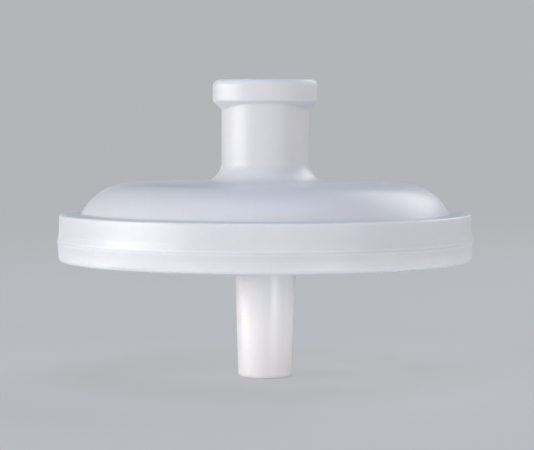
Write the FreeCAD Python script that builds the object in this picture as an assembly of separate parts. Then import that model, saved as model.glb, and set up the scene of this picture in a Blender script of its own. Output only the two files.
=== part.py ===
import FreeCAD, Part
import math
import os

# Syringe filter for a 25 mm disc: two polypropylene shells welded round their rims, with the
# filter disc clamped between them. Millimetres. The origin is the centre of the inlet mouth
# and +Z runs out of the inlet, so every level below the mouth is negative.

# Luer inlet on the upper shell
luer_taper = 0.06          # change of diameter per length, on the socket and on the tip
socket_mouth_dia = 4.30
socket_depth = 7.8
socket_floor = 1.2
socket_lead_in = 0.15
orifice_dia = 1.8
neck_dia = 6.45
neck_height = 7.5          # mouth to lid top
neck_foot_radius = 1.5
lug_reach = 0.65           # of each lug past the neck, along X
lug_flat_reach = 0.15      # of the flats between the lugs past the neck, along Y
lug_height = 1.6           # mouth to the start of the bevel under the lugs
lug_end_radius = 1.2
lug_edge_radius = 0.5

# Domed lid
lid_rise = 2.35            # rim top to lid top at the neck
lid_slope = math.radians(1.3)      # the lid falls slightly from the neck to its shoulder
lid_shoulder_radius = 4.0
lid_wall = 1.2
ceiling_corner = 1.6       # the lid thickens over this width towards the rim
lid_rib_count = 12
lid_rib_thickness = 0.9
lid_rib_gap = 0.35         # under the ribs, above the disc

# Rim, in two halves that meet at the weld seam. Its diameters follow from the filter disc.
tongue_inset = 1.0         # from the disc's pocket outwards to the tongue
tongue_width = 0.8
rim_wall = 0.825           # outside the tongue, at the seam
rim_ledge = 1.225          # how far the rim stands out past the lid
lower_rim_extra = 0.05     # the lower half is this much further out
upper_rim_height = 2.05
lower_rim_height = 1.45
rim_draft = math.radians(1.5)
rim_top_slope = math.radians(0.6)  # outwards, like the lid
upper_rim_edge = 0.12      # bevel
lower_rim_edge_radius = 0.35
weld_bead = 0.15           # how far the squeezed-out weld stands proud
weld_bead_height = 0.25    # of each half of it
tongue_depth = 0.6
tongue_side_gap = 0.03
tongue_end_gap = 0.1

# Filter disc and how it is held
disc_dia = 25.0
disc_thickness = 0.15
disc_edge_gap = 0.1
clamp_width = 0.9          # ring of the disc pressed between the shells

# Disc support inside the lower shell
ridge_pitch = 1.2
ridge_width = 0.45
ridge_height = 0.4         # at the outermost ridge
floor_fall = 0.3           # floor slopes down this much towards the drain
channel_count = 8
channel_width = 0.7
channel_depth = 0.1        # below the floor, at its lowest
drain_funnel_dia = 3.6
drain_funnel_depth = 0.9

# Underside and Luer outlet tip
underside_fall = 0.4       # underside slopes down this much towards the tip
rim_seat_width = 2.0
tip_length = 8.65          # rim bottom to tip end
tip_end_dia = 3.99
tip_root_radius = 0.6
tip_edge_radius = 0.3
bore_dia = 1.9
bore_end_dia = 2.1

lid_top = -neck_height
lid_ceiling = lid_top - lid_wall
rim_top = lid_top - lid_rise
seam = rim_top - upper_rim_height
rim_bottom = seam - lower_rim_height
disc_bottom = seam - disc_thickness
underside_bottom = rim_bottom - underside_fall
tip_end = rim_bottom - tip_length
neck_radius = neck_dia / 2
lug_radius = neck_radius + lug_reach
clamp_radius = disc_dia / 2 - clamp_width
pocket_radius = disc_dia / 2 + disc_edge_gap
tongue_inner = pocket_radius + tongue_inset
tongue_outer = tongue_inner + tongue_width
seam_radius = tongue_outer + rim_wall
lower_seam_radius = seam_radius + lower_rim_extra
lid_radius = seam_radius - rim_ledge
floor_edge = disc_bottom - ridge_height
floor_middle = floor_edge - floor_fall
overlap = 0.1              # how far shapes reach into each other before they are fused

origin = FreeCAD.Vector(0, 0, 0)
up = FreeCAD.Vector(0, 0, 1)


def outline(corners):
    # Closed face through (radius, level, rounding) corners. A rounding is limited by the
    # sides it runs into, and two roundings share the side between them.
    spots = [FreeCAD.Vector(radius, 0, level) for radius, level, _ in corners]
    count = len(spots)
    ends = []
    for i, (spot, corner) in enumerate(zip(spots, corners)):
        to_last = spots[i - 1] - spot
        to_next = spots[(i + 1) % count] - spot
        room_last = to_last.Length / (2 if corners[i - 1][2] else 1)
        room_next = to_next.Length / (2 if corners[(i + 1) % count][2] else 1)
        half_turn = to_last.getAngle(to_next) / 2
        reach = min(corner[2] / math.tan(half_turn), room_last, room_next)
        to_last.normalize()
        to_next.normalize()
        middle = spot
        if reach > 0:
            inward = (to_last + to_next).normalize()
            radius = reach * math.tan(half_turn)
            middle = spot + inward * (radius / math.sin(half_turn) - radius)
        ends.append((spot + to_last * reach, middle, spot + to_next * reach))
    edges = []
    for i, (start, middle, end) in enumerate(ends):
        if start.distanceToPoint(end) > 1e-6:
            edges.append(Part.Arc(start, middle, end).toShape())
        following = ends[(i + 1) % count][0]
        if end.distanceToPoint(following) > 1e-6:
            edges.append(Part.LineSegment(end, following).toShape())
    return Part.Face(Part.Wire(edges))


def turned(corners):
    return outline(corners).revolve(origin, up, 360)


def around(shape, count):
    turns = []
    for i in range(count):
        turn = shape.copy()
        turn.rotate(origin, up, 360 * i / count)
        turns.append(turn)
    return turns


def lug_collar():
    # Two Luer-lock lugs: a round collar with a flat on its front and back, its top edge
    # rounded and its underside bevelled back to the neck.
    bevel = lug_reach + overlap
    height = lug_height + bevel
    half_flats = neck_radius + lug_flat_reach
    collar = Part.makeCylinder(lug_radius, height, FreeCAD.Vector(0, 0, -height))
    slab = Part.makeBox(2 * lug_radius, 2 * half_flats, height)
    slab.translate(FreeCAD.Vector(-lug_radius, -half_flats, -height))
    collar = collar.common(slab)
    upright = [e for e in collar.Edges
               if e.BoundBox.ZLength > height / 2 and abs(e.CenterOfMass.y) > half_flats - 0.01]
    collar = collar.makeFillet(lug_end_radius, upright)
    top = [e for e in collar.Edges if e.BoundBox.ZMin > -0.01]
    collar = collar.makeFillet(lug_edge_radius, top)
    bottom = [e for e in collar.Edges if e.BoundBox.ZMax < -height + 0.01]
    return collar.makeChamfer(bevel, bottom)


def luer_socket():
    mouth = socket_mouth_dia / 2
    floor = mouth - luer_taper * socket_depth / 2
    socket = turned([
        (0, 0, 0),
        (mouth + socket_lead_in, 0, 0),
        (mouth, -socket_lead_in, 0),
        (floor, -socket_depth, 0),
        (0, -socket_depth, 0),
    ])
    orifice_length = socket_floor + 2 * socket_lead_in
    orifice_top = FreeCAD.Vector(0, 0, -socket_depth + socket_lead_in - orifice_length)
    return socket.fuse(Part.makeCylinder(orifice_dia / 2, orifice_length, orifice_top))


def lid_chamber():
    boss_bottom = min(lid_ceiling, -socket_depth - socket_floor)
    return turned([
        (0, boss_bottom, 0),
        (neck_radius, boss_bottom, 0),
        (neck_radius, lid_ceiling, 0),
        (clamp_radius - ceiling_corner, lid_ceiling, 0),
        (clamp_radius, lid_ceiling - ceiling_corner, 0),
        (clamp_radius, seam, 0),
        (0, seam, 0),
    ])


def lid_ribs(chamber):
    # Radial ribs hang from the lid and stop just above the disc. Each is cut to the chamber,
    # so its outer end follows the sloped corner.
    start = neck_radius - overlap
    bottom = seam + lid_rib_gap
    length = clamp_radius + overlap - start
    rib = Part.makeBox(length, lid_rib_thickness, lid_ceiling + overlap - bottom)
    rib.translate(FreeCAD.Vector(start, -lid_rib_thickness / 2, bottom))
    return around(rib.common(chamber), lid_rib_count)


def inlet_housing():
    top_radius = seam_radius - upper_rim_height * math.tan(rim_draft)
    shoulder_corner = lid_top - (lid_radius - neck_radius) * math.tan(lid_slope)
    rim_edge = rim_top - (top_radius - clamp_radius) * math.tan(rim_top_slope)
    lid = turned([
        (0, 0, 0),
        (neck_radius, 0, 0),
        (neck_radius, lid_top, neck_foot_radius),
        (lid_radius, shoulder_corner, lid_shoulder_radius),
        (lid_radius, seam, 0),
        (0, seam, 0),
    ])
    rim = turned([
        (clamp_radius, rim_top, 0),
        (top_radius - upper_rim_edge, rim_edge, 0),
        (top_radius, rim_edge - upper_rim_edge, 0),
        (seam_radius, seam + weld_bead_height, 0),
        (seam_radius + weld_bead, seam, 0),
        (clamp_radius, seam, 0),
    ])
    tongue = turned([
        (tongue_inner, seam, 0),
        (tongue_outer, seam, 0),
        (tongue_outer, seam - tongue_depth, 0),
        (tongue_inner, seam - tongue_depth, 0),
    ])
    chamber = lid_chamber()
    shell = lid.fuse([lug_collar(), rim]).cut(chamber)
    shell = shell.fuse([tongue] + lid_ribs(chamber)).cut(luer_socket())
    return shell.removeSplitter()


def floor_level(radius):
    slope = (floor_edge - floor_middle) / (clamp_radius - drain_funnel_dia / 2)
    return floor_edge - slope * (clamp_radius - radius)


def support_ridge(radius):
    # One concentric ridge, flat on top where the disc lies.
    foot = floor_level(radius) - overlap
    return turned([
        (radius - ridge_width / 2, disc_bottom, 0),
        (radius + ridge_width / 2, disc_bottom, 0),
        (radius + ridge_width / 2, foot, 0),
        (radius - ridge_width / 2, foot, 0),
    ])


def drain_channels():
    start = drain_funnel_dia / 4
    bottom = floor_middle - channel_depth
    channel = Part.makeBox(clamp_radius - start, channel_width, disc_bottom - bottom)
    channel.translate(FreeCAD.Vector(start, -channel_width / 2, bottom))
    inside = Part.makeCylinder(clamp_radius, 2 * (disc_bottom - bottom), FreeCAD.Vector(0, 0, bottom))
    return around(channel.common(inside), channel_count)


def outlet_housing():
    bottom_radius = lower_seam_radius - lower_rim_height * math.tan(rim_draft)
    seat_radius = bottom_radius - lower_rim_edge_radius - rim_seat_width
    tip_end_radius = tip_end_dia / 2
    tip_root_width = tip_end_radius + luer_taper * (underside_bottom - tip_end) / 2
    body = turned([
        (0, seam, 0),
        (lower_seam_radius + weld_bead, seam, 0),
        (lower_seam_radius, seam - weld_bead_height, 0),
        (bottom_radius, rim_bottom, lower_rim_edge_radius),
        (seat_radius, rim_bottom, 0),
        (tip_root_width, underside_bottom, tip_root_radius),
        (tip_end_radius, tip_end, tip_edge_radius),
        (0, tip_end, 0),
    ])
    pocket = Part.makeCylinder(pocket_radius, disc_thickness, FreeCAD.Vector(0, 0, disc_bottom))
    basin = turned([
        (0, disc_bottom, 0),
        (clamp_radius, disc_bottom, 0),
        (clamp_radius, floor_edge, 0),
        (drain_funnel_dia / 2, floor_middle, 0),
        (bore_dia / 2, floor_middle - drain_funnel_depth, 0),
        (bore_end_dia / 2, tip_end, 0),
        (0, tip_end, 0),
    ])
    groove_bottom = seam - tongue_depth - tongue_end_gap
    groove = turned([
        (tongue_inner - tongue_side_gap, seam, 0),
        (tongue_outer + tongue_side_gap, seam, 0),
        (tongue_outer + tongue_side_gap, groove_bottom, 0),
        (tongue_inner - tongue_side_gap, groove_bottom, 0),
    ])
    shell = body.cut([pocket, basin, groove])
    first_ridge = drain_funnel_dia / 2 + ridge_width
    last_ridge = clamp_radius - ridge_width
    ridge_count = int((last_ridge - first_ridge) / ridge_pitch) + 1
    ridges = [support_ridge(first_ridge + i * ridge_pitch) for i in range(ridge_count)]
    return shell.fuse(ridges).cut(drain_channels()).removeSplitter()


def membrane():
    return Part.makeCylinder(disc_dia / 2, disc_thickness, FreeCAD.Vector(0, 0, disc_bottom))


pieces = {
    "inlet_housing": inlet_housing(),
    "outlet_housing": outlet_housing(),
    "membrane": membrane(),
}

os.makedirs("parts", exist_ok=True)
for name, shape in pieces.items():
    shape.exportStep(f"parts/{name}.step")
    box = shape.BoundBox
    print(f"{name}: {len(shape.Solids)} solid, valid {shape.isValid()}, {shape.Volume:.1f} mm3,"
          f" z {box.ZMin:.2f} to {box.ZMax:.2f}")
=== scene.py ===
import math

import bmesh
import bpy
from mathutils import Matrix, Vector, noise


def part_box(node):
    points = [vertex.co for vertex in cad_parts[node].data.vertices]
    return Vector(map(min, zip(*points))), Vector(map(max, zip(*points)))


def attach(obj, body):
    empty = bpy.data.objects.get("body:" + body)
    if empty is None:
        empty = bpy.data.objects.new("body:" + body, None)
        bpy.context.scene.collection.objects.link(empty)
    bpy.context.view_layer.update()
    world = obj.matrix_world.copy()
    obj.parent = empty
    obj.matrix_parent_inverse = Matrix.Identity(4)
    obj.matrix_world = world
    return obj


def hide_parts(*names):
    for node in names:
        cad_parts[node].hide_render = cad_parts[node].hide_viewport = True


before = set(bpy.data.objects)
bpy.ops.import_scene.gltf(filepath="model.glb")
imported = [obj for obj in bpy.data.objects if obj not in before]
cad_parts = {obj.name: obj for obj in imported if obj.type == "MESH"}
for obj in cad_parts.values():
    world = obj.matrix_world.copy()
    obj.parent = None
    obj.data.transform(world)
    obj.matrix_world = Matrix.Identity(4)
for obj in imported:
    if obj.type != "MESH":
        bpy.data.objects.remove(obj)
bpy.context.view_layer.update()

# Shells are drawn in millimetres as (radius, level) outlines and turned round the Z axis.
mm = 0.001
inletLow, inletHigh = [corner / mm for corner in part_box("inlet_housing")]
outletLow, outletHigh = [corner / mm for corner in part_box("outlet_housing")]
discLow, discHigh = [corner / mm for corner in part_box("membrane")]
mouthLevel = inletHigh.z
seamLevel = outletHigh.z
tipLevel = outletLow.z


# camera

cameraSizes = {
    "distance": 148 * mm,
    "elevation": 3,           # degrees
    "aim": Vector((0.133, 0, -10.77)) * mm,
    "lens": 134.7,
    "sensor": 36,
    "nearest": 5 * mm,
}


def placeCamera():
    cameraData = bpy.data.cameras.new("camera")
    cameraData.lens = cameraSizes["lens"]
    cameraData.sensor_width = cameraSizes["sensor"]
    cameraData.clip_start = cameraSizes["nearest"]
    camera = bpy.data.objects.new("camera", cameraData)
    bpy.context.scene.collection.objects.link(camera)
    rise = math.radians(cameraSizes["elevation"])
    back = Vector((0, -math.cos(rise), math.sin(rise)))
    camera.location = cameraSizes["aim"] + back * cameraSizes["distance"]
    camera.rotation_euler = (math.pi / 2 - rise, 0, 0)
    bpy.context.scene.camera = camera


placeCamera()
bpy.context.scene.view_settings.view_transform = "Standard"
print("camera placed")


# materials

def newMaterial(name):
    material = bpy.data.materials.new(name)
    material.use_nodes = True
    nodes = material.node_tree.nodes
    return material, nodes, material.node_tree.links, nodes["Principled BSDF"]


def addGroupSocket(group, name, direction, kind, default=None):
    socket = group.interface.new_socket(name=name, in_out=direction, socket_type=kind)
    if default is not None:
        socket.default_value = default


def feed(tree, socket, value):
    # Links another node's output, or sets a plain number or colour.
    if isinstance(value, bpy.types.NodeSocket):
        tree.links.new(value, socket)
    else:
        socket.default_value = value


def calculate(tree, operation, *values):
    node = tree.nodes.new("ShaderNodeMath")
    node.operation = operation
    for socket, value in zip(node.inputs, values):
        feed(tree, socket, value)
    return node.outputs["Value"]


def mixColours(tree, share, first, second):
    node = tree.nodes.new("ShaderNodeMix")
    node.data_type = "RGBA"
    feed(tree, node.inputs["Factor"], share)
    sockets = {socket.name: socket for socket in node.inputs if socket.type == "RGBA"}
    feed(tree, sockets["A"], first)
    feed(tree, sockets["B"], second)
    return next(socket for socket in node.outputs if socket.type == "RGBA")


def fadeBetween(tree, value, start, end, first=0, last=1):
    # Runs softly from first to last while the value goes from start to end.
    node = tree.nodes.new("ShaderNodeMapRange")
    node.interpolation_type = "SMOOTHSTEP"
    feed(tree, node.inputs["Value"], value)
    node.inputs["From Min"].default_value = start
    node.inputs["From Max"].default_value = end
    node.inputs["To Min"].default_value = first
    node.inputs["To Max"].default_value = last
    return node.outputs["Result"]


def makeMouldGroup():
    # Moulded plastic: faint clouds in its colour, patches of higher gloss, and a fine grain.
    group = bpy.data.node_groups.new("mouldedSurface", "ShaderNodeTree")
    addGroupSocket(group, "Position", "INPUT", "NodeSocketVector")
    addGroupSocket(group, "Colour", "INPUT", "NodeSocketColor", (0.8, 0.8, 0.8, 1))
    addGroupSocket(group, "Cloud Colour", "INPUT", "NodeSocketColor", (0.7, 0.7, 0.7, 1))
    addGroupSocket(group, "Cloud Size", "INPUT", "NodeSocketFloat", 0.004)
    addGroupSocket(group, "Cloud Amount", "INPUT", "NodeSocketFloat", 0.3)
    addGroupSocket(group, "Grain Size", "INPUT", "NodeSocketFloat", 0.0002)
    addGroupSocket(group, "Roughness", "INPUT", "NodeSocketFloat", 0.35)
    addGroupSocket(group, "Roughness Spread", "INPUT", "NodeSocketFloat", 0.1)
    addGroupSocket(group, "Surface Colour", "OUTPUT", "NodeSocketColor")
    addGroupSocket(group, "Surface Roughness", "OUTPUT", "NodeSocketFloat")
    addGroupSocket(group, "Grain Height", "OUTPUT", "NodeSocketFloat")
    nodes, links = group.nodes, group.links
    source = nodes.new("NodeGroupInput")
    result = nodes.new("NodeGroupOutput")
    given = source.outputs

    def noiseAt(size, detail, name):
        pattern = nodes.new("ShaderNodeTexNoise")
        pattern.name = name
        pattern.inputs["Detail"].default_value = detail
        links.new(given["Position"], pattern.inputs["Vector"])
        links.new(calculate(group, "DIVIDE", 1, size), pattern.inputs["Scale"])
        return pattern.outputs["Fac"]

    clouds = noiseAt(given["Cloud Size"], 3, "clouds")
    grain = noiseAt(given["Grain Size"], 2, "grain")
    cloudShare = calculate(group, "MULTIPLY", clouds, given["Cloud Amount"])
    tint = mixColours(group, cloudShare, given["Colour"], given["Cloud Colour"])
    swing = calculate(group, "SUBTRACT", clouds, 0.5)     # noise lies round one half
    gloss = calculate(group, "MULTIPLY_ADD", swing, given["Roughness Spread"], given["Roughness"])
    links.new(tint, result.inputs["Surface Colour"])
    links.new(gloss, result.inputs["Surface Roughness"])
    links.new(grain, result.inputs["Grain Height"])
    return group


mouldGroup = makeMouldGroup()


def mouldedMaterial(name, looks):
    material, nodes, links, shader = newMaterial(name)
    place = nodes.new("ShaderNodeTexCoord")
    surface = nodes.new("ShaderNodeGroup")
    surface.node_tree = mouldGroup
    links.new(place.outputs["Object"], surface.inputs["Position"])
    surface.inputs["Colour"].default_value = (*looks["colour"], 1)
    surface.inputs["Cloud Colour"].default_value = (*looks["cloudColour"], 1)
    surface.inputs["Cloud Size"].default_value = looks["cloudSize"] * mm
    surface.inputs["Cloud Amount"].default_value = looks["cloudAmount"]
    surface.inputs["Grain Size"].default_value = looks["grainSize"] * mm
    surface.inputs["Roughness"].default_value = looks["roughness"]
    surface.inputs["Roughness Spread"].default_value = looks["roughnessSpread"]
    bump = nodes.new("ShaderNodeBump")
    bump.inputs["Strength"].default_value = looks["grainStrength"]
    bump.inputs["Distance"].default_value = looks["grainDepth"] * mm
    links.new(surface.outputs["Grain Height"], bump.inputs["Height"])
    links.new(surface.outputs["Surface Colour"], shader.inputs["Base Color"])
    links.new(surface.outputs["Surface Roughness"], shader.inputs["Roughness"])
    links.new(bump.outputs["Normal"], shader.inputs["Normal"])
    shader.inputs["IOR"].default_value = looks["ior"]
    shader.inputs["Subsurface Weight"].default_value = looks["glow"]
    shader.inputs["Subsurface Radius"].default_value = looks["glowReach"]
    shader.inputs["Subsurface Scale"].default_value = looks["glowScale"] * mm
    return material


def paintedSeamLight(material, paintedLightBand):
    # Painted light: the glow leaves a dark line of shade at the seam, where the faces of the two shells
    # touch.
    # A paler colour painted beside the seam makes up for that shade.
    tree = material.node_tree
    baseColour = tree.nodes["Principled BSDF"].inputs["Base Color"]
    moulded = baseColour.links[0].from_socket
    place = tree.nodes.new("ShaderNodeTexCoord")
    split = tree.nodes.new("ShaderNodeSeparateXYZ")
    tree.links.new(place.outputs["Object"], split.inputs["Vector"])
    offset = calculate(tree, "SUBTRACT", split.outputs["Z"], seamLevel * mm)
    distance = calculate(tree, "ABSOLUTE", offset)
    share = fadeBetween(tree, distance, 0, paintedLightBand["reach"] * mm, 1, 0)
    tree.links.new(mixColours(tree, share, moulded, (*paintedLightBand["colour"], 1)), baseColour)


# sizes and depths in millimetres
polypropylene = mouldedMaterial("polypropylene", {
    "colour": (0.68, 0.68, 0.70),
    "cloudColour": (0.62, 0.63, 0.67),
    "cloudSize": 5,
    "cloudAmount": 0.25,
    "grainSize": 0.12,
    "grainDepth": 0.004,
    "grainStrength": 0.25,
    "roughness": 0.34,
    "roughnessSpread": 0.1,
    "ior": 1.49,
    "glow": 0.6,
    "glowReach": (1.0, 0.85, 0.7),
    "glowScale": 0.9,
})
# Painted light: a paler band beside the seam that makes up for the dark line the glow leaves there.
paintedSeamLight(polypropylene, {
    "colour": (0.87, 0.87, 0.88),
    "reach": 0.25,            # above and below the seam
})
filterFilm = mouldedMaterial("filterFilm", {
    "colour": (0.87, 0.87, 0.85),
    "cloudColour": (0.80, 0.80, 0.78),
    "cloudSize": 1.5,
    "cloudAmount": 0.2,
    "grainSize": 0.05,
    "grainDepth": 0.01,
    "grainStrength": 0.6,
    "roughness": 0.85,
    "roughnessSpread": 0.05,
    "ior": 1.4,
    "glow": 0.2,
    "glowReach": (1.0, 1.0, 0.9),
    "glowScale": 0.1,
})
print("materials made")


# outlines and turned shells

outlineSizes = {
    "guard": 0.05,            # from a rounding to the extra point that keeps the flat beside it flat
    "mostOfRoom": 0.95,       # share of a run that a rounding may take
    "arcSteps": 6,
    "wideArcSteps": 12,
    "wideFrom": 1,            # rounding from which an arc gets more steps
    "sharpFrom": 32,          # degrees between faces at which an edge stays sharp
}


def arc(middle, first, last, steps):
    # Points on the shorter arc round middle, from first to last.
    radius = (first - middle).length
    start = math.atan2(first.y - middle.y, first.x - middle.x)
    end = math.atan2(last.y - middle.y, last.x - middle.x)
    sweep = (end - start + math.pi) % (2 * math.pi) - math.pi
    turns = [start + sweep * k / steps for k in range(steps + 1)]
    return [middle + radius * Vector((math.cos(turn), math.sin(turn))) for turn in turns]


def roundedOutline(stops):
    # Closed outline through (radius, level, rounding) corners and ready-made curves. Each gives
    # a fixed number of points, so outlines at different angles match.
    curves = [stop if isinstance(stop, list) else [Vector(stop[:2])] for stop in stops]
    roundings = [0 if isinstance(stop, list) else stop[2] for stop in stops]
    count = len(stops)
    mostOfRoom = outlineSizes["mostOfRoom"]
    bends = []
    for i, (curve, rounding) in enumerate(zip(curves, roundings)):
        if not rounding:
            bends.append(curve)
            continue
        spot = curve[0]
        toLast = curves[i - 1][-1] - spot
        toNext = curves[(i + 1) % count][0] - spot
        roomLast = toLast.length / (2 if roundings[i - 1] else 1)
        roomNext = toNext.length / (2 if roundings[(i + 1) % count] else 1)
        toLast.normalize()
        toNext.normalize()
        halfTurn = toLast.angle(toNext) / 2
        reach = min(rounding / math.tan(halfTurn), mostOfRoom * roomLast, mostOfRoom * roomNext)
        radius = reach * math.tan(halfTurn)
        middle = spot + (toLast + toNext).normalized() * radius / math.sin(halfTurn)
        steps = outlineSizes["wideArcSteps" if rounding > outlineSizes["wideFrom"] else "arcSteps"]
        bends.append(arc(middle, spot + toLast * reach, spot + toNext * reach, steps))
    outline = []
    for i, bend in enumerate(bends):
        following = bends[(i + 1) % count][0]
        run = following - bend[-1]
        step = run.normalized() * min(outlineSizes["guard"], run.length / 3)
        outline += bend + [bend[-1] + step, following - step]
    return outline


def addPiece(name, mesh, node=None):
    piece = bpy.data.objects.new(name, mesh)
    bpy.context.scene.collection.objects.link(piece)
    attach(piece, "root")
    if node:
        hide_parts(node)


def smoothFaces(mesh):
    mesh.shade_smooth()
    mesh.set_sharp_from_angle(angle=math.radians(outlineSizes["sharpFrom"]))


def turnedShell(name, outlineAt):
    # A closed ring of outlines, one at each angle, joined by quads.
    steps = rimSizes["turnSteps"]
    angles = [2 * math.pi * k / steps for k in range(steps)]
    rings = [outlineAt(angle) for angle in angles]
    perRing = len(rings[0])
    points = [Vector((spot.x * math.cos(angle), spot.x * math.sin(angle), spot.y)) * mm
              for angle, ring in zip(angles, rings) for spot in ring]
    faces = []
    for k in range(steps):
        here, there = k * perRing, (k + 1) % steps * perRing
        for j in range(perRing):
            after = (j + 1) % perRing
            faces.append((here + j, there + j, there + after, here + after))
    mesh = bpy.data.meshes.new(name)
    mesh.from_pydata(points, [], faces)
    work = bmesh.new()
    work.from_mesh(mesh)
    bmesh.ops.recalc_face_normals(work, faces=work.faces)
    work.to_mesh(mesh)
    work.free()
    smoothFaces(mesh)
    mesh.materials.append(polypropylene)
    return mesh


# rim, shared by the two shells

rimSizes = {
    "clampWidth": 0.9,        # ring of the disc pressed between the shells
    "pocketGap": 0.1,         # round the disc
    "tongueInset": 1.0,       # from the disc's pocket to the tongue
    "tongueWidth": 0.8,
    "tongueGap": 0.03,
    "tongueEndGap": 0.1,
    "tongueEdge": 0.12,       # roundings of the tongue and its groove
    "tongueRoot": 0.08,
    "wall": 0.825,            # outside the tongue
    "lowerExtra": 0.05,       # the lower half stands this much further out
    "upperHeight": 2.05,
    "lowerHeight": 1.45,
    "draft": 1.5,             # degrees
    "bead": 0.08,             # the squeezed-out weld, at its most
    "beadWander": 0.4,        # share of it that comes and goes along the seam
    "beadWaves": ((0.35, 5), (0.25, 14)),     # strength and quickness of that
    "beadHeight": 0.60,       # each way from the seam
    "beadEdge": 0.1,
    "beadRoot": 0.3,
    "seamLine": 0.012,        # depth of the fine groove between the halves, four times as high
    "turnSteps": 288,
}
discRadius = discHigh.x
clampRadius = discRadius - rimSizes["clampWidth"]
pocketRadius = discRadius + rimSizes["pocketGap"]
tongueInner = pocketRadius + rimSizes["tongueInset"]
tongueOuter = tongueInner + rimSizes["tongueWidth"]
seamRadius = tongueOuter + rimSizes["wall"]
draftSlope = math.tan(math.radians(rimSizes["draft"]))


def beadAt(angle):
    # How far the weld stands proud at this angle: uneven, as squeezed-out plastic is.
    around = Vector((math.cos(angle), math.sin(angle), 0))
    waves = [strength * noise.noise(around * pace) for strength, pace in rimSizes["beadWaves"]]
    wander = sum(waves, 0.5)
    share = 1 - rimSizes["beadWander"] * min(max(wander, 0), 1)
    return rimSizes["bead"] * share


# upper shell: Luer socket, lugs, neck, domed lid and upper half of the rim

inletSizes = {
    "socketMouth": 4.30,
    "socketTaper": 0.06,
    "socketDepth": 7.8,
    "socketFloor": 1.2,
    "socketEdge": 0.2,
    "mouthEdge": 0.15,
    "orifice": 1.8,
    "orificeEdge": 0.1,
    "neck": 6.45,
    "neckHeight": 7.5,
    "neckFoot": 1.5,
    "lugReach": 0.65,         # past the neck, along X
    "flatReach": 0.15,        # of the flatter faces past the neck, along Y
    "faceCurve": 4.4,         # radius of those faces
    "lugHeight": 1.6,
    "lugCorner": 1.2,         # upright corners between lug and flat
    "lugTopEdge": 0.5,
    "lugUnderEdge": 0.25,
    "lidRise": 2.35,
    "lidSlope": 1.3,          # degrees
    "shoulder": 4.0,
    "shoulderSteps": 22,
    "lidWall": 1.2,
    "ceilingCorner": 1.6,     # slope between the ceiling and the wall
    "ceilingEdge": 0.4,
    "bossRoot": 0.15,         # where the socket's boss meets the ceiling
    "rimLedge": 1.225,
    "rimTopSlope": 0.6,       # degrees
    "ledgeFillet": 0.15,      # where the shoulder meets the rim
    "rimEdge": 0.14,
}
neckRadius = inletSizes["neck"] / 2
lidLevel = mouthLevel - inletSizes["neckHeight"]
ceilingLevel = lidLevel - inletSizes["lidWall"]
rimTopLevel = lidLevel - inletSizes["lidRise"]


def collarRadius(angle):
    # Round collar whose front and back are flatter, with a rounded corner between the two curves.
    outer = neckRadius + inletSizes["lugReach"]
    corner = inletSizes["lugCorner"]
    face = inletSizes["faceCurve"]
    faceMiddle = Vector((0, neckRadius + inletSizes["flatReach"] - face))
    cornerY = ((outer - corner) ** 2 - (face - corner) ** 2 + faceMiddle.y ** 2) / (2 * faceMiddle.y)
    cornerMiddle = Vector((math.sqrt((outer - corner) ** 2 - cornerY ** 2), cornerY))
    faceEnd = faceMiddle + (cornerMiddle - faceMiddle).normalized() * face
    outward = Vector((abs(math.cos(angle)), abs(math.sin(angle))))
    if outward.y * cornerMiddle.x <= outward.x * cornerMiddle.y:
        return outer
    onFace = outward.y * faceEnd.x >= outward.x * faceEnd.y
    middle, radius = (faceMiddle, face) if onFace else (cornerMiddle, corner)
    along = middle.dot(outward)
    return along + math.sqrt(radius ** 2 - middle.length_squared + along ** 2)


def rimTopAt(radius):
    return rimTopLevel - (radius - clampRadius) * math.tan(math.radians(inletSizes["rimTopSlope"]))


def lidShoulder():
    # The lid's round shoulder, from its top to just above the rim, and the foot that meets the rim.
    slope = math.radians(inletSizes["lidSlope"])
    rounding = inletSizes["shoulder"]
    middle = Vector((seamRadius - inletSizes["rimLedge"] - rounding, 0))
    middle.y = lidLevel - (middle.x - neckRadius) * math.tan(slope) - rounding / math.cos(slope)
    first = middle + rounding * Vector((math.sin(slope), math.cos(slope)))
    foot = middle + Vector((rounding, 0))
    for _ in range(5):        # the foot settles on both the shoulder and the sloping rim top
        foot.y = rimTopAt(foot.x)
        foot.x = middle.x + math.sqrt(rounding ** 2 - (foot.y - middle.y) ** 2)
    tangent = Vector((middle.y - foot.y, foot.x - middle.x)).normalized()
    last = foot + tangent * inletSizes["ledgeFillet"] * 2
    return arc(middle, first, last, inletSizes["shoulderSteps"]), foot


shoulderCurve, shoulderFoot = lidShoulder()


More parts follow.
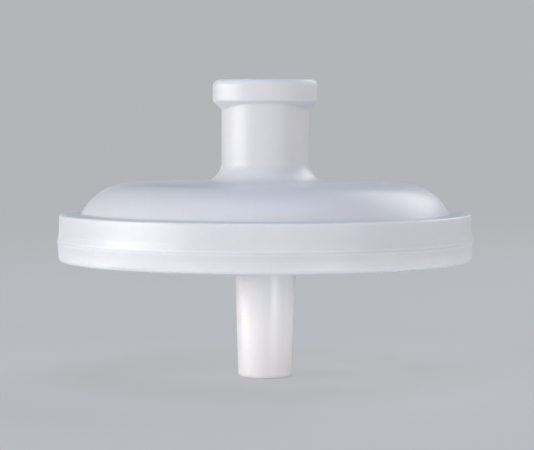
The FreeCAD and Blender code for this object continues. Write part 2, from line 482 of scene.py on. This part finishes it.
def inletOutline(angle):
    mouth = inletSizes["socketMouth"] / 2
    socketEnd = mouth - inletSizes["socketTaper"] * inletSizes["socketDepth"] / 2
    socketLevel = mouthLevel - inletSizes["socketDepth"]
    orifice = inletSizes["orifice"] / 2
    bossLevel = socketLevel - inletSizes["socketFloor"]
    collar = collarRadius(angle)
    underLug = mouthLevel - inletSizes["lugHeight"]
    topRadius = seamRadius - rimSizes["upperHeight"] * draftSlope
    beadRadius = seamRadius + rimSizes["lowerExtra"] + beadAt(angle)
    return roundedOutline([
        (orifice, bossLevel, inletSizes["orificeEdge"]),
        (orifice, socketLevel, inletSizes["orificeEdge"]),
        (socketEnd, socketLevel, inletSizes["socketEdge"]),
        (mouth, mouthLevel - inletSizes["mouthEdge"], inletSizes["socketEdge"]),
        (mouth + inletSizes["mouthEdge"], mouthLevel, inletSizes["socketEdge"]),
        (collar, mouthLevel, inletSizes["lugTopEdge"]),
        (collar, underLug, inletSizes["lugUnderEdge"]),
        (neckRadius, underLug - (collar - neckRadius), inletSizes["lugUnderEdge"]),
        (neckRadius, lidLevel, inletSizes["neckFoot"]),
        shoulderCurve,
        (*shoulderFoot, inletSizes["ledgeFillet"]),
        (topRadius, rimTopAt(topRadius), inletSizes["rimEdge"]),
        (seamRadius, seamLevel + rimSizes["beadHeight"], rimSizes["beadRoot"]),
        (beadRadius, seamLevel + rimSizes["seamLine"] * 2, rimSizes["beadEdge"]),
        (beadRadius - rimSizes["seamLine"], seamLevel, 0),
        (tongueOuter, seamLevel, rimSizes["tongueRoot"]),
        (tongueOuter, inletLow.z, rimSizes["tongueEdge"]),
        (tongueInner, inletLow.z, rimSizes["tongueEdge"]),
        (tongueInner, seamLevel, rimSizes["tongueRoot"]),
        (clampRadius, seamLevel, rimSizes["tongueRoot"]),
        (clampRadius, ceilingLevel - inletSizes["ceilingCorner"], inletSizes["ceilingEdge"]),
        (clampRadius - inletSizes["ceilingCorner"], ceilingLevel, inletSizes["ceilingEdge"]),
        (neckRadius, ceilingLevel, inletSizes["bossRoot"]),
        (neckRadius, bossLevel, inletSizes["orificeEdge"]),
    ])


addPiece("inletShell", turnedShell("inletShell", inletOutline), "inlet_housing")
print("upper shell turned")


# lower shell: lower half of the rim, disc floor, underside and Luer tip

outletSizes = {
    "rimEdge": 0.35,
    "seatWidth": 2.0,         # flat ring under the rim
    "seatEdge": 0.6,
    "undersideFall": 0.4,     # from that ring to the tip
    "tipEnd": 3.99,
    "tipTaper": 0.06,
    "tipRoot": 0.6,
    "tipEdge": 0.3,
    "bore": 1.9,
    "boreEnd": 2.1,
    "boreEdge": 0.12,
    "floorDepth": 0.4,        # below the disc, at the clamp ring
    "floorFall": 0.3,         # towards the drain
    "floorCorner": 0.15,
    "clampEdge": 0.06,
    "pocketCorner": 0.04,
    "pocketEdge": 0.06,
    "funnel": 3.6,
    "funnelDepth": 0.9,
    "funnelEdge": 0.3,
}
floorEdge = discLow.z - outletSizes["floorDepth"]
floorMiddle = floorEdge - outletSizes["floorFall"]


def outletOutline(angle):
    lowerRadius = seamRadius + rimSizes["lowerExtra"]
    rimBottom = seamLevel - rimSizes["lowerHeight"]
    bottomRadius = lowerRadius - rimSizes["lowerHeight"] * draftSlope
    seatInner = bottomRadius - outletSizes["rimEdge"] - outletSizes["seatWidth"]
    underside = rimBottom - outletSizes["undersideFall"]
    tipRadius = outletSizes["tipEnd"] / 2
    tipRoot = tipRadius + outletSizes["tipTaper"] * (underside - tipLevel) / 2
    boreTop = floorMiddle - outletSizes["funnelDepth"]
    beadRadius = lowerRadius + beadAt(angle)
    grooveOut = tongueOuter + rimSizes["tongueGap"]
    grooveIn = tongueInner - rimSizes["tongueGap"]
    grooveLevel = inletLow.z - rimSizes["tongueEndGap"]
    return roundedOutline([
        (beadRadius - rimSizes["seamLine"], seamLevel, 0),
        (beadRadius, seamLevel - rimSizes["seamLine"] * 2, rimSizes["beadEdge"]),
        (lowerRadius, seamLevel - rimSizes["beadHeight"], rimSizes["beadRoot"]),
        (bottomRadius, rimBottom, outletSizes["rimEdge"]),
        (seatInner, rimBottom, outletSizes["seatEdge"]),
        (tipRoot, underside, outletSizes["tipRoot"]),
        (tipRadius, tipLevel, outletSizes["tipEdge"]),
        (outletSizes["boreEnd"] / 2, tipLevel, outletSizes["boreEdge"]),
        (outletSizes["bore"] / 2, boreTop, outletSizes["funnelEdge"]),
        (outletSizes["funnel"] / 2, floorMiddle, outletSizes["funnelEdge"]),
        (clampRadius, floorEdge, outletSizes["floorCorner"]),
        (clampRadius, discLow.z, outletSizes["clampEdge"]),
        (pocketRadius, discLow.z, outletSizes["pocketCorner"]),
        (pocketRadius, seamLevel, outletSizes["pocketEdge"]),
        (grooveIn, seamLevel, rimSizes["tongueRoot"]),
        (grooveIn, grooveLevel, rimSizes["tongueEdge"]),
        (grooveOut, grooveLevel, rimSizes["tongueEdge"]),
        (grooveOut, seamLevel, rimSizes["tongueRoot"]),
    ])


addPiece("outletShell", turnedShell("outletShell", outletOutline), "outlet_housing")
print("lower shell turned")


# Geometry Nodes

def newTree(name, inputs):
    # A tree with a Geometry socket each way and a named number for each size.
    tree = bpy.data.node_groups.new(name, "GeometryNodeTree")
    addGroupSocket(tree, "Geometry", "INPUT", "NodeSocketGeometry")
    for label, value in inputs.items():
        kind = "NodeSocketInt" if isinstance(value, int) else "NodeSocketFloat"
        addGroupSocket(tree, label, "INPUT", kind, value)
    addGroupSocket(tree, "Geometry", "OUTPUT", "NodeSocketGeometry")
    return tree, tree.nodes.new("NodeGroupInput"), tree.nodes.new("NodeGroupOutput")


def realized(tree, shape):
    solid = tree.nodes.new("GeometryNodeRealizeInstances")
    tree.links.new(shape, solid.inputs["Geometry"])
    return solid.outputs["Geometry"]


def finishTree(tree, shape, result):
    # Every tree ends in a realized shape with its material set.
    paint = tree.nodes.new("GeometryNodeSetMaterial")
    paint.inputs["Material"].default_value = polypropylene
    tree.links.new(realized(tree, shape), paint.inputs["Geometry"])
    tree.links.new(paint.outputs["Geometry"], result.inputs["Geometry"])
    return tree


def madeByRule(name, startMesh, tree, sizes):
    # Runs the tree on the start mesh and returns its result as a plain mesh.
    source = bpy.data.objects.new(name, startMesh)
    bpy.context.scene.collection.objects.link(source)
    modifier = source.modifiers.new("rule", "NODES")
    modifier.node_group = tree
    for item in tree.interface.items_tree:
        if item.in_out == "INPUT" and item.name in sizes:
            modifier[item.identifier] = sizes[item.name]
    ready = bpy.context.evaluated_depsgraph_get()
    mesh = bpy.data.meshes.new_from_object(source.evaluated_get(ready))
    mesh.name = name
    bpy.data.objects.remove(source)
    smoothFaces(mesh)
    return mesh


# ribs under the lid

ribSizes = {
    "count": 12,
    "thickness": 0.9,
    "gap": 0.35,              # under the ribs, above the disc
    "edge": 0.12,
    "edgeSteps": 3,
    "bite": 0.08,             # into the lid and the boss
}


def isUnderEdge(edge, low, nearly=0.01):
    # True for the two long edges at the rib's foot.
    first, second = [corner.co / mm for corner in edge.verts]
    atFoot = abs(first.z - low) < nearly and abs(second.z - low) < nearly
    return atFoot and abs(first.y - second.y) < nearly


def ribMesh():
    # One rib along +X, with its outer end under the ceiling's slope and its lower edges rounded.
    bite = ribSizes["bite"]
    corner = inletSizes["ceilingCorner"]
    low = seamLevel + ribSizes["gap"]
    side = [
        (neckRadius - bite, low),
        (clampRadius + bite, low),
        (clampRadius + bite, ceilingLevel - corner + bite),
        (clampRadius - corner + bite, ceilingLevel + bite),
        (neckRadius - bite, ceilingLevel + bite),
    ]
    half = ribSizes["thickness"] / 2
    work = bmesh.new()
    flank = work.faces.new([work.verts.new(Vector((x, -half, z)) * mm) for x, z in side])
    raised = bmesh.ops.extrude_face_region(work, geom=[flank])
    moved = [part for part in raised["geom"] if isinstance(part, bmesh.types.BMVert)]
    bmesh.ops.translate(work, verts=moved, vec=Vector((0, 2 * half, 0)) * mm)
    bmesh.ops.recalc_face_normals(work, faces=work.faces)
    underEdges = [edge for edge in work.edges if isUnderEdge(edge, low)]
    bmesh.ops.bevel(work, geom=underEdges, offset=ribSizes["edge"] * mm,
                    segments=ribSizes["edgeSteps"], affect="EDGES", profile=0.5)
    mesh = bpy.data.meshes.new("rib")
    work.to_mesh(mesh)
    work.free()
    return mesh


def ribTree():
    # Places the rib round the axis.
    tree, source, result = newTree("ringOfRibs", {"Count": ribSizes["count"]})
    places = tree.nodes.new("GeometryNodePoints")
    tree.links.new(source.outputs["Count"], places.inputs["Count"])
    index = tree.nodes.new("GeometryNodeInputIndex")
    share = calculate(tree, "DIVIDE", index.outputs[0], source.outputs["Count"])
    turn = tree.nodes.new("ShaderNodeCombineXYZ")
    tree.links.new(calculate(tree, "MULTIPLY", share, 2 * math.pi), turn.inputs["Z"])
    copies = tree.nodes.new("GeometryNodeInstanceOnPoints")
    tree.links.new(places.outputs[0], copies.inputs["Points"])
    tree.links.new(source.outputs["Geometry"], copies.inputs["Instance"])
    tree.links.new(turn.outputs[0], copies.inputs["Rotation"])
    return finishTree(tree, copies.outputs[0], result)


lidRibs = madeByRule("lidRibs", ribMesh(), ribTree(), {"Count": ribSizes["count"]})
addPiece("lidRibs", lidRibs)
print("lid ribs made")


# ridges that carry the disc, broken by drain channels

ridgeSizes = {
    "pitch": 1.2,
    "width": 0.45,
    "channels": 8,
    "channelWidth": 0.7,
    "edge": 0.07,             # rounding of the top edges
    "edgeCut": 0.3,           # share of a corner that its rounding cuts off
    "bite": 0.1,              # into the floor
    "steps": 14,              # along each arc
}


def ridgeBlock():
    # A unit block whose points say how far they lie along, across and up a stretch of ridge.
    # It runs towards -X, so that its faces still point outwards once it is bent round the axis.
    cut = ridgeSizes["edgeCut"]
    inset = ridgeSizes["edge"] / (ridgeSizes["width"] / 2)
    drop = ridgeSizes["edge"] / (outletSizes["floorDepth"] + ridgeSizes["bite"])
    half = [(1, 0), (1, 1 - drop), (1 - cut * inset, 1 - cut * drop), (1 - inset, 1)]
    section = [(-x, z) for x, z in half] + half[::-1]
    steps = ridgeSizes["steps"]
    work = bmesh.new()
    along = work.verts.layers.float.new("along")
    across = work.verts.layers.float.new("across")
    up = work.verts.layers.float.new("up")
    rows = []
    for k in range(steps + 1):
        row = []
        for x, z in section:
            vert = work.verts.new((-k / steps, x, z))
            vert[along], vert[across], vert[up] = k / steps, x, z
            row.append(vert)
        rows.append(row)
    for near, far in zip(rows, rows[1:]):
        for j in range(len(section)):
            after = (j + 1) % len(section)
            work.faces.new((near[j], near[after], far[after], far[j]))
    work.faces.new(rows[0])
    work.faces.new(rows[-1][::-1])
    bmesh.ops.recalc_face_normals(work, faces=work.faces)
    mesh = bpy.data.meshes.new("ridgeBlock")
    work.to_mesh(mesh)
    work.free()
    return mesh


def ridgeTree(sizes):
    # Numbers the stretches of ridge, then bends each block round the axis between two channels.
    tree, source, result = newTree("ridgesAndChannels", sizes)
    sizeOf = source.outputs

    def stored(label):
        node = tree.nodes.new("GeometryNodeInputNamedAttribute")
        node.data_type = "FLOAT"
        node.inputs["Name"].default_value = label
        return node.outputs["Attribute"]

    places = tree.nodes.new("GeometryNodePoints")
    stretches = calculate(tree, "MULTIPLY", sizeOf["Ridges"], sizeOf["Channels"])
    tree.links.new(stretches, places.inputs["Count"])
    number = tree.nodes.new("GeometryNodeStoreNamedAttribute")
    number.data_type = "FLOAT"
    number.inputs["Name"].default_value = "place"
    index = tree.nodes.new("GeometryNodeInputIndex")
    tree.links.new(places.outputs[0], number.inputs["Geometry"])
    tree.links.new(index.outputs[0], number.inputs["Value"])
    copies = tree.nodes.new("GeometryNodeInstanceOnPoints")
    tree.links.new(number.outputs[0], copies.inputs["Points"])
    tree.links.new(sizeOf["Geometry"], copies.inputs["Instance"])

    place = stored("place")
    safePlace = calculate(tree, "ADD", place, 0.5)        # a whole number could round down
    ridge = calculate(tree, "FLOOR", calculate(tree, "DIVIDE", safePlace, sizeOf["Channels"]))
    earlier = calculate(tree, "MULTIPLY", ridge, sizeOf["Channels"])
    sector = calculate(tree, "SUBTRACT", place, earlier)
    middle = calculate(tree, "MULTIPLY_ADD", ridge, sizeOf["Pitch"], sizeOf["First Radius"])
    halfWidth = calculate(tree, "MULTIPLY", sizeOf["Width"], 0.5)
    radius = calculate(tree, "MULTIPLY_ADD", stored("across"), halfWidth, middle)
    halfChannel = calculate(tree, "MULTIPLY", sizeOf["Channel Width"], 0.5)
    gap = calculate(tree, "ARCSINE", calculate(tree, "DIVIDE", halfChannel, radius))
    sectorTurn = calculate(tree, "DIVIDE", 2 * math.pi, sizeOf["Channels"])
    stretch = calculate(tree, "SUBTRACT", sectorTurn, calculate(tree, "MULTIPLY", gap, 2))
    start = calculate(tree, "MULTIPLY_ADD", sector, sectorTurn, gap)
    angle = calculate(tree, "MULTIPLY_ADD", stored("along"), stretch, start)
    foot = calculate(tree, "MULTIPLY_ADD", middle, sizeOf["Floor Slope"], sizeOf["Floor Level"])
    height = calculate(tree, "SUBTRACT", sizeOf["Top Level"], foot)
    level = calculate(tree, "MULTIPLY_ADD", stored("up"), height, foot)
    spot = tree.nodes.new("ShaderNodeCombineXYZ")
    for axis, operation in (("X", "COSINE"), ("Y", "SINE")):
        part = calculate(tree, "MULTIPLY", radius, calculate(tree, operation, angle))
        tree.links.new(part, spot.inputs[axis])
    tree.links.new(level, spot.inputs["Z"])
    scaled = tree.nodes.new("ShaderNodeVectorMath")
    scaled.operation = "SCALE"
    scaled.inputs["Scale"].default_value = mm
    tree.links.new(spot.outputs[0], scaled.inputs[0])
    shaped = tree.nodes.new("GeometryNodeSetPosition")
    tree.links.new(realized(tree, copies.outputs[0]), shaped.inputs["Geometry"])
    tree.links.new(scaled.outputs[0], shaped.inputs["Position"])
    return finishTree(tree, shaped.outputs[0], result)


def ridgeMesh():
    funnelRadius = outletSizes["funnel"] / 2
    firstRadius = funnelRadius + ridgeSizes["width"]
    lastRadius = clampRadius - ridgeSizes["width"]
    slope = outletSizes["floorFall"] / (clampRadius - funnelRadius)
    sizes = {
        "Ridges": int((lastRadius - firstRadius) / ridgeSizes["pitch"]) + 1,
        "Channels": ridgeSizes["channels"],
        "First Radius": firstRadius,
        "Pitch": ridgeSizes["pitch"],
        "Width": ridgeSizes["width"],
        "Channel Width": ridgeSizes["channelWidth"],
        "Floor Slope": slope,
        "Floor Level": floorEdge - slope * clampRadius - ridgeSizes["bite"],
        "Top Level": discLow.z,
    }
    return madeByRule("supportRidges", ridgeBlock(), ridgeTree(sizes), sizes)


addPiece("supportRidges", ridgeMesh())
print("disc support made")


# filter disc

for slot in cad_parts["membrane"].material_slots:
    slot.material = filterFilm
print("filter disc painted")


# floor, world and lamps

stageSizes = {
    "floorRadius": 3.0,
    "floorSides": 96,
    "floorColour": (0.94, 0.94, 0.94),
    "floorRoughness": 0.9,
    "floorShine": 0.1,
    "fadeFrom": 0.05,         # distances at which the floor turns into the backdrop
    "fadeTo": 0.30,
    "paleNear": 0.75,         # share of the backdrop's colour in the floor by the object
    "backdrop": (0.45, 0.46, 0.48),
    "horizon": (0.70, 0.60, 0.53),            # ambient light from round the sides
    "zenith": (0, 0, 0),      # none from above, where the sky panel is
    "climbFrom": 0.1,         # heights in the sky, from 0 to 1, between which one turns into the other
    "climbTo": 0.8,
}


def seenDirectly(tree):
    # 1 for camera, glossy and transmission rays, and 0 for the diffuse rays that carry ambient light.
    path = tree.nodes.new("ShaderNodeLightPath")
    seen = calculate(tree, "MAXIMUM", path.outputs["Is Camera Ray"], path.outputs["Is Glossy Ray"])
    return calculate(tree, "MAXIMUM", seen, path.outputs["Is Transmission Ray"])


def mixShaders(tree, share, first, second, output):
    mix = tree.nodes.new("ShaderNodeMixShader")
    for socket, value in zip(mix.inputs, (share, first, second)):
        tree.links.new(value, socket)
    tree.links.new(mix.outputs["Shader"], tree.nodes[output].inputs["Surface"])


def makeFloor():
    # Plain floor whose colour turns into the backdrop's with distance.
    material, nodes, links, shader = newMaterial("studioFloor")
    tree = material.node_tree
    shader.inputs["Base Color"].default_value = (*stageSizes["floorColour"], 1)
    shader.inputs["Roughness"].default_value = stageSizes["floorRoughness"]
    shader.inputs["Specular IOR Level"].default_value = stageSizes["floorShine"]
    place = nodes.new("ShaderNodeTexCoord")
    far = nodes.new("ShaderNodeVectorMath")
    far.operation = "LENGTH"
    links.new(place.outputs["Object"], far.inputs[0])
    fade = fadeBetween(tree, far.outputs["Value"], stageSizes["fadeFrom"], stageSizes["fadeTo"],
                       stageSizes["paleNear"])
    share = calculate(tree, "MULTIPLY", fade, seenDirectly(tree))
    distant = nodes.new("ShaderNodeEmission")
    distant.inputs["Color"].default_value = (*stageSizes["backdrop"], 1)
    mixShaders(tree, share, shader.outputs["BSDF"], distant.outputs["Emission"], "Material Output")
    mesh = bpy.data.meshes.new("floor")
    work = bmesh.new()
    bmesh.ops.create_circle(work, cap_ends=True, segments=stageSizes["floorSides"],
                            radius=stageSizes["floorRadius"])
    work.to_mesh(mesh)
    work.free()
    mesh.materials.append(material)
    floor = bpy.data.objects.new("floor", mesh)
    floor.location.z = tipLevel * mm
    bpy.context.scene.collection.objects.link(floor)


def makeWorld():
    # Soft ambient light that turns from the horizon's colour to the zenith's. The camera and
    # the reflections see the plain backdrop instead.
    world = bpy.data.worlds.new("studio")
    bpy.context.scene.world = world
    world.use_nodes = True
    tree = world.node_tree
    ambient = tree.nodes["Background"]
    direction = tree.nodes.new("ShaderNodeTexCoord")
    parts = tree.nodes.new("ShaderNodeSeparateXYZ")
    tree.links.new(direction.outputs["Generated"], parts.inputs["Vector"])
    climb = fadeBetween(tree, parts.outputs["Z"], stageSizes["climbFrom"], stageSizes["climbTo"])
    sky = mixColours(tree, climb, (*stageSizes["horizon"], 1), (*stageSizes["zenith"], 1))
    tree.links.new(sky, ambient.inputs["Color"])
    plain = tree.nodes.new("ShaderNodeBackground")
    plain.inputs["Color"].default_value = (*stageSizes["backdrop"], 1)
    mixShaders(tree, seenDirectly(tree), ambient.outputs["Background"],
               plain.outputs["Background"], "World Output")


# Distance and size in metres, level in millimetres, angles in degrees. The sky panel is blue,
# which tints the lid, and the last two are narrow beams aimed at the outlet tip.
softboxes = {
    "keySoftbox": {"azimuth": -70, "elevation": 8, "distance": 0.30, "size": (0.20, 0.08), "power": 0.44},
    "leftStrip": {"azimuth": -93, "elevation": 10, "distance": 0.30, "size": (0.14, 0.12), "power": 0.11},
    "frontFill": {"azimuth": 18, "elevation": 12, "distance": 0.50, "size": (0.60, 0.25), "power": 1.02},
    "backSoftbox": {"azimuth": 135, "elevation": 34, "distance": 0.35, "size": (0.26, 0.20), "power": 0.36},
    "skyPanel": {"azimuth": 0, "elevation": 80, "distance": 0.40, "size": (0.30, 0.30), "power": 0.62,
                 "colour": (0.48, 0.69, 1.0)},
    "tipLeft": {"azimuth": -88, "elevation": -3, "distance": 0.10, "size": (0.03, 0.0015), "power": 0.00030,
                "spread": 9, "level": -16.0},
    "tipFront": {"azimuth": 36, "elevation": -3, "distance": 0.10, "size": (0.03, 0.0015), "power": 0.00026,
                 "spread": 8, "level": -16.4},
}


def addSoftbox(name, azimuth, elevation, distance, size, power,
               colour=(1, 1, 1), spread=180, level=(mouthLevel + tipLevel) / 2):
    # Azimuth 0 is the camera's side and -90 is its left. The lamp shines at the axis, at the level.
    lampData = bpy.data.lights.new(name, "AREA")
    lampData.shape = "RECTANGLE"
    lampData.size, lampData.size_y = size
    lampData.energy = power
    lampData.color = colour
    lampData.spread = math.radians(spread)
    lamp = bpy.data.objects.new(name, lampData)
    turn, rise = math.radians(azimuth), math.radians(elevation)
    flat = Vector((math.sin(turn), -math.cos(turn), 0))
    outward = flat * math.cos(rise) + Vector((0, 0, math.sin(rise)))
    lamp.location = Vector((0, 0, level * mm)) + outward * distance
    lamp.rotation_euler = outward.to_track_quat("Z", "Y").to_euler()
    lamp.visible_camera = False
    bpy.context.scene.collection.objects.link(lamp)


makeFloor()
makeWorld()
for name, settings in softboxes.items():
    addSoftbox(name, **settings)
print("stage lit")
